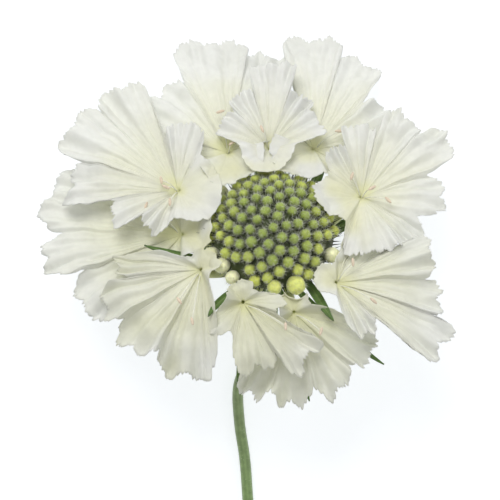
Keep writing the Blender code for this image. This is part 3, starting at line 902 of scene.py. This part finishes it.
def make_stamens():
    draw = random.Random(29)
    points, faces, colours = [], [], []
    for index, pixel, rise in STAMENS:
        (azimuth, reach, throat_rise), _, _ = FLORETS[index]
        start = polar(azimuth, reach, throat_rise - 1.5)
        middle = polar(azimuth, reach, throat_rise + 1.6)
        end = pixel_to_head(pixel, rise)
        handle = middle + (end - middle) * 0.25 + np.array((0, 0, 0.8))
        thread = [
            (1 - t) ** 2 * start + 2 * t * (1 - t) * handle + t * t * end
            for t in np.linspace(0, 1, 11)
        ]
        rod(points, faces, colours, thread, [THREAD_WIDTH] * len(thread), THREAD_PALE)
        angle = draw.uniform(0.0, math.pi)
        across = np.array((math.cos(angle), math.sin(angle), draw.uniform(-0.2, 0.2)))
        shares = np.linspace(-ANTHER_HALF_LENGTH, ANTHER_HALF_LENGTH, 9)
        anther = [end + across * share for share in shares]
        parts = [i / (len(anther) - 1) for i in range(len(anther))]
        widths = [ANTHER_WIDTH * math.sqrt(max(1.0 - (2 * part - 1) ** 2, 0.02)) for part in parts]
        rod(points, faces, colours, anther, widths, ANTHER_TAN)
    world = head_to_world(np.array(points))
    new_piece("stamens", world, faces, HAIR, tint=np.array(colours))


# Bracts with their collar.

def make_bracts():
    steps, across = 26, 9
    shares = np.interp(np.linspace(0, 6, steps + 1), np.arange(7), BRACT_OUTLINE)
    softening = np.array((1, 2, 3, 2, 1)) / 9.0
    shares = np.convolve(np.pad(shares, 2, mode="edge"), softening, mode="valid")
    shares[-1] = 0.03
    side = np.linspace(-1.0, 1.0, across)
    draw = random.Random(5)
    parts = []
    for azimuths, bend, tip, half_width in BRACTS:
        rows = []
        for i in range(steps + 1):
            part = i / steps
            reach, rise, azimuth = (
                (1 - part) ** 2 * root + 2 * part * (1 - part) * middle + part**2 * end
                for root, middle, end in (*zip(BRACT_ROOT, bend, tip), azimuths)
            )
            width = half_width * shares[i]
            centre = polar(azimuth, reach, rise)
            sideways = polar(azimuth + 90.0, 1.0)
            fold = BRACT_FOLD * width * np.abs(side) ** 1.3
            rib = 0.10 * np.exp(-(side / 0.13) ** 2) * (1 - part)
            lift = np.stack((0 * side, 0 * side, fold - rib), -1)
            rows.append(centre + side[:, None] * width * sideways + lift)
        body = np.array(rows)
        tone = BRACT_GREEN * draw.uniform(0.85, 1.2)
        middle_share = np.exp(-(side / 0.2) ** 2) * 0.7
        tint = blend(even_tint(tone, body), BRACT_RIB, np.broadcast_to(middle_share, body.shape[:2]))
        faces = grid_faces(steps + 1, across, closed=False)
        parts.append((body.reshape(-1, 3), faces, tint.reshape(-1, 3)))
    points, faces, tint = joined(parts)
    thing = new_piece(
        "bract_blades", head_to_world(points), faces, LEAF, tint=tint, node="involucre",
    )
    thicken(thing, BRACT_THICKNESS)

    collar = revolved(COLLAR, 60, waves=11, depth=0.03)
    faces = grid_faces(len(COLLAR), 60)
    tint = even_tint(COLLAR_GREEN, collar)
    new_piece("bract_collar", head_to_world(collar), faces, LEAF, tint=tint)


# Stem and receptacle.

def stem_route():
    """Place and radius at each knot, from the head down the neck and along the table."""
    cos, sin = math.cos(TILT), math.sin(TILT)
    down = np.array((0.0, -sin, -cos))
    start = np.array((0.0, 0.0, HEAD_HEIGHT)) + down * NECK_START
    steep = math.pi / 2 - TILT
    bend_top = NECK_RADIUS + NECK_BEND * (1.0 - math.cos(steep))
    top = start + down * max((start[2] - bend_top) / cos, 0.0)
    route = [(*start, NECK_RADIUS)]
    for i in range(NECK_KNOTS):
        angle = steep * (1.0 - i / (NECK_KNOTS - 1))
        back = NECK_BEND * (math.sin(steep) - math.sin(angle))
        height = NECK_RADIUS + NECK_BEND * (1.0 - math.cos(angle))
        route.append((0.0, top[1] - back, height, NECK_RADIUS))
    for x, y in STEM_PLAN:
        route.append((x, y, STEM_RADIUS, STEM_RADIUS))
    return np.array(route)


def fine_route(route, steps_per_mm):
    """Smooth run through the knots with slopes that suit their spacing."""
    chord = np.linalg.norm(np.diff(route[:, :3], axis=0), axis=1)
    route = route[np.append(chord > 1e-6, True)]
    chord = np.linalg.norm(np.diff(route[:, :3], axis=0), axis=1)
    knots = np.concatenate(((0.0,), np.cumsum(chord)))
    slopes = np.gradient(route, knots, axis=0)
    fine = []
    for i in range(len(route) - 1):
        count = max(int(chord[i] * steps_per_mm), 2)
        for part in np.linspace(0.0, 1.0, count, endpoint=False):
            leave = (2 * part**3 - 3 * part**2 + 1) * route[i]
            leave = leave + (part**3 - 2 * part**2 + part) * chord[i] * slopes[i]
            arrive = (-2 * part**3 + 3 * part**2) * route[i + 1]
            fine.append(leave + arrive + (part**3 - part**2) * chord[i] * slopes[i + 1])
    fine.append(route[-1])
    return np.array(fine)


def stem_body(route):
    """Ridged rings along the route, and the directions across and along it at each."""
    around = np.linspace(0.0, math.tau, STEM_SIDES, endpoint=False)
    ridge = 1.0 + 0.025 * np.cos(8 * around)
    rows, directions = [], []
    side = np.array((1.0, 0.0, 0.0))
    for i, knot in enumerate(route):
        ahead = unit_vector(route[min(i + 1, len(route) - 1)][:3] - route[max(i - 1, 0)][:3])
        side = unit_vector(side - ahead * (side @ ahead))
        other = np.cross(ahead, side)
        spokes = side * np.cos(around)[:, None] + other * np.sin(around)[:, None]
        rows.append(knot[:3] + spokes * (knot[3] * ridge)[:, None])
        directions.append((side, other, ahead))
    return np.array(rows), directions


def make_stem_skin(body):
    """The stem, closed at its cut end, with the receptacle that carries the head."""
    around = np.linspace(0.0, math.tau, STEM_SIDES, endpoint=False)
    share = np.linspace(0.0, 1.0, len(body))[:, None] * np.ones(STEM_SIDES)
    tint = blend(STEM_PALE, STEM_GREEN, ease(share, 0.05, 0.45))
    tint = tint * (1.0 + 0.12 * np.cos(8 * around)[None, :, None])
    faces = grid_faces(len(body), STEM_SIDES)
    last = (len(body) - 1) * STEM_SIDES
    faces.append(tuple(last + j for j in range(STEM_SIDES)))
    cup = revolved(RECEPTACLE, 48, waves=12, depth=0.02)
    cup_tint = even_tint(RECEPTACLE_GREEN, cup)
    points, faces, tint = joined((
        (stem_to_world(body).reshape(-1, 3), faces, tint.reshape(-1, 3)),
        (head_to_world(cup).reshape(-1, 3), grid_faces(len(RECEPTACLE), 48), cup_tint.reshape(-1, 3)),
    ))
    new_piece("stem_skin", points, faces, STEM, tint=tint, node="stem")


def make_stem_hairs(route, directions):
    """Short soft hairs along the stem, none of them through the table."""
    draw = random.Random(83)
    hairs, faces = [], []
    for _ in range(STEM_HAIRS):
        i = draw.randrange(len(route) - 1)
        part = draw.random()
        knot = route[i] * (1 - part) + route[i + 1] * part
        side, other, ahead = directions[i]
        angle = draw.uniform(0.0, math.tau)
        out = side * math.cos(angle) + other * math.sin(angle)
        root = knot[:3] + out * knot[3] * 0.97
        direction = unit_vector(out + ahead * draw.uniform(-0.6, 0.3))
        length = draw.uniform(0.25, 0.6)
        if root[2] + direction[2] * length < STEM_HAIR_FLOOR:
            continue
        spike(hairs, faces, root, direction, length, STEM_HAIR_WIDTH, steps=1)
    down = np.array(hairs)
    tint = even_tint(STEM_DOWN, down)
    new_piece("stem_hairs", stem_to_world(down), faces, HAIR, tint=tint, smooth=False)


def make_stem():
    route = fine_route(stem_route(), STEM_STEPS_PER_MM)
    body, directions = stem_body(route)
    make_stem_skin(body)
    make_stem_hairs(route, directions)


for floret_index, floret_form in enumerate(FLORETS):
    make_floret(floret_index, floret_form)
make_disc()
make_stamens()
make_bracts()
make_stem()


# Table, light and camera.

def make_table():
    bpy.ops.mesh.primitive_plane_add(size=4.0, location=(0.0, 0.0, -0.0002))
    floor = bpy.context.object
    floor.name = "table"
    material = bpy.data.materials.new("table")
    material.use_nodes = True
    shader = material.node_tree.nodes["Principled BSDF"]
    shader.inputs["Base Color"].default_value = (0.42, 0.425, 0.43, 1.0)
    shader.inputs["Roughness"].default_value = 0.9
    shader.inputs["Specular IOR Level"].default_value = 0.1
    shader.inputs["Emission Color"].default_value = (0.94, 0.97, 1.0, 1.0)
    shader.inputs["Emission Strength"].default_value = 0.76
    floor.data.materials.append(material)


def make_light(name, place, size, power, colour):
    """A soft round lamp that looks at the middle of the flower."""
    lamp = bpy.data.lights.new(name, "AREA")
    lamp.shape = "DISK"
    lamp.size = size
    lamp.energy = power
    lamp.color = colour
    thing = bpy.data.objects.new(name, lamp)
    bpy.context.scene.collection.objects.link(thing)
    thing.location = place
    away = Vector(place) - Vector((0.0, 0.04, 0.01))
    thing.rotation_euler = away.to_track_quat("Z", "Y").to_euler()


def make_camera():
    """Looks straight down from above, at the photograph's scale at the head."""
    data = bpy.data.cameras.new("camera")
    data.sensor_width = FILM_WIDTH
    data.lens = FILM_WIDTH * (CAMERA_HEIGHT - CAMERA_FOCUS_HEIGHT) / (PHOTO_SIZE / PHOTO_SCALE * MM)
    data.clip_start = 0.01
    data.clip_end = 10.0
    camera = bpy.data.objects.new("camera", data)
    bpy.context.scene.collection.objects.link(camera)
    x, y = HEAD_AT[0] + VIEW_CENTRE[0], HEAD_AT[1] + VIEW_CENTRE[1]
    camera.location = (x * MM, y * MM, CAMERA_HEIGHT)
    camera.rotation_euler = (0.0, 0.0, 0.0)
    bpy.context.scene.camera = camera


make_table()
make_light("key", (-0.15, 0.55, 0.65), 0.55, 4.3, (1.0, 0.995, 0.98))
make_light("fill", (0.5, -0.1, 0.6), 0.6, 0.8, (0.97, 0.985, 1.0))
make_camera()

world = bpy.data.worlds.new("studio")
world.use_nodes = True
world.node_tree.nodes["Background"].inputs["Color"].default_value = (1.0, 1.0, 1.0, 1.0)
world.node_tree.nodes["Background"].inputs["Strength"].default_value = 0.44
bpy.context.scene.world = world
bpy.context.scene.view_settings.view_transform = "Standard"
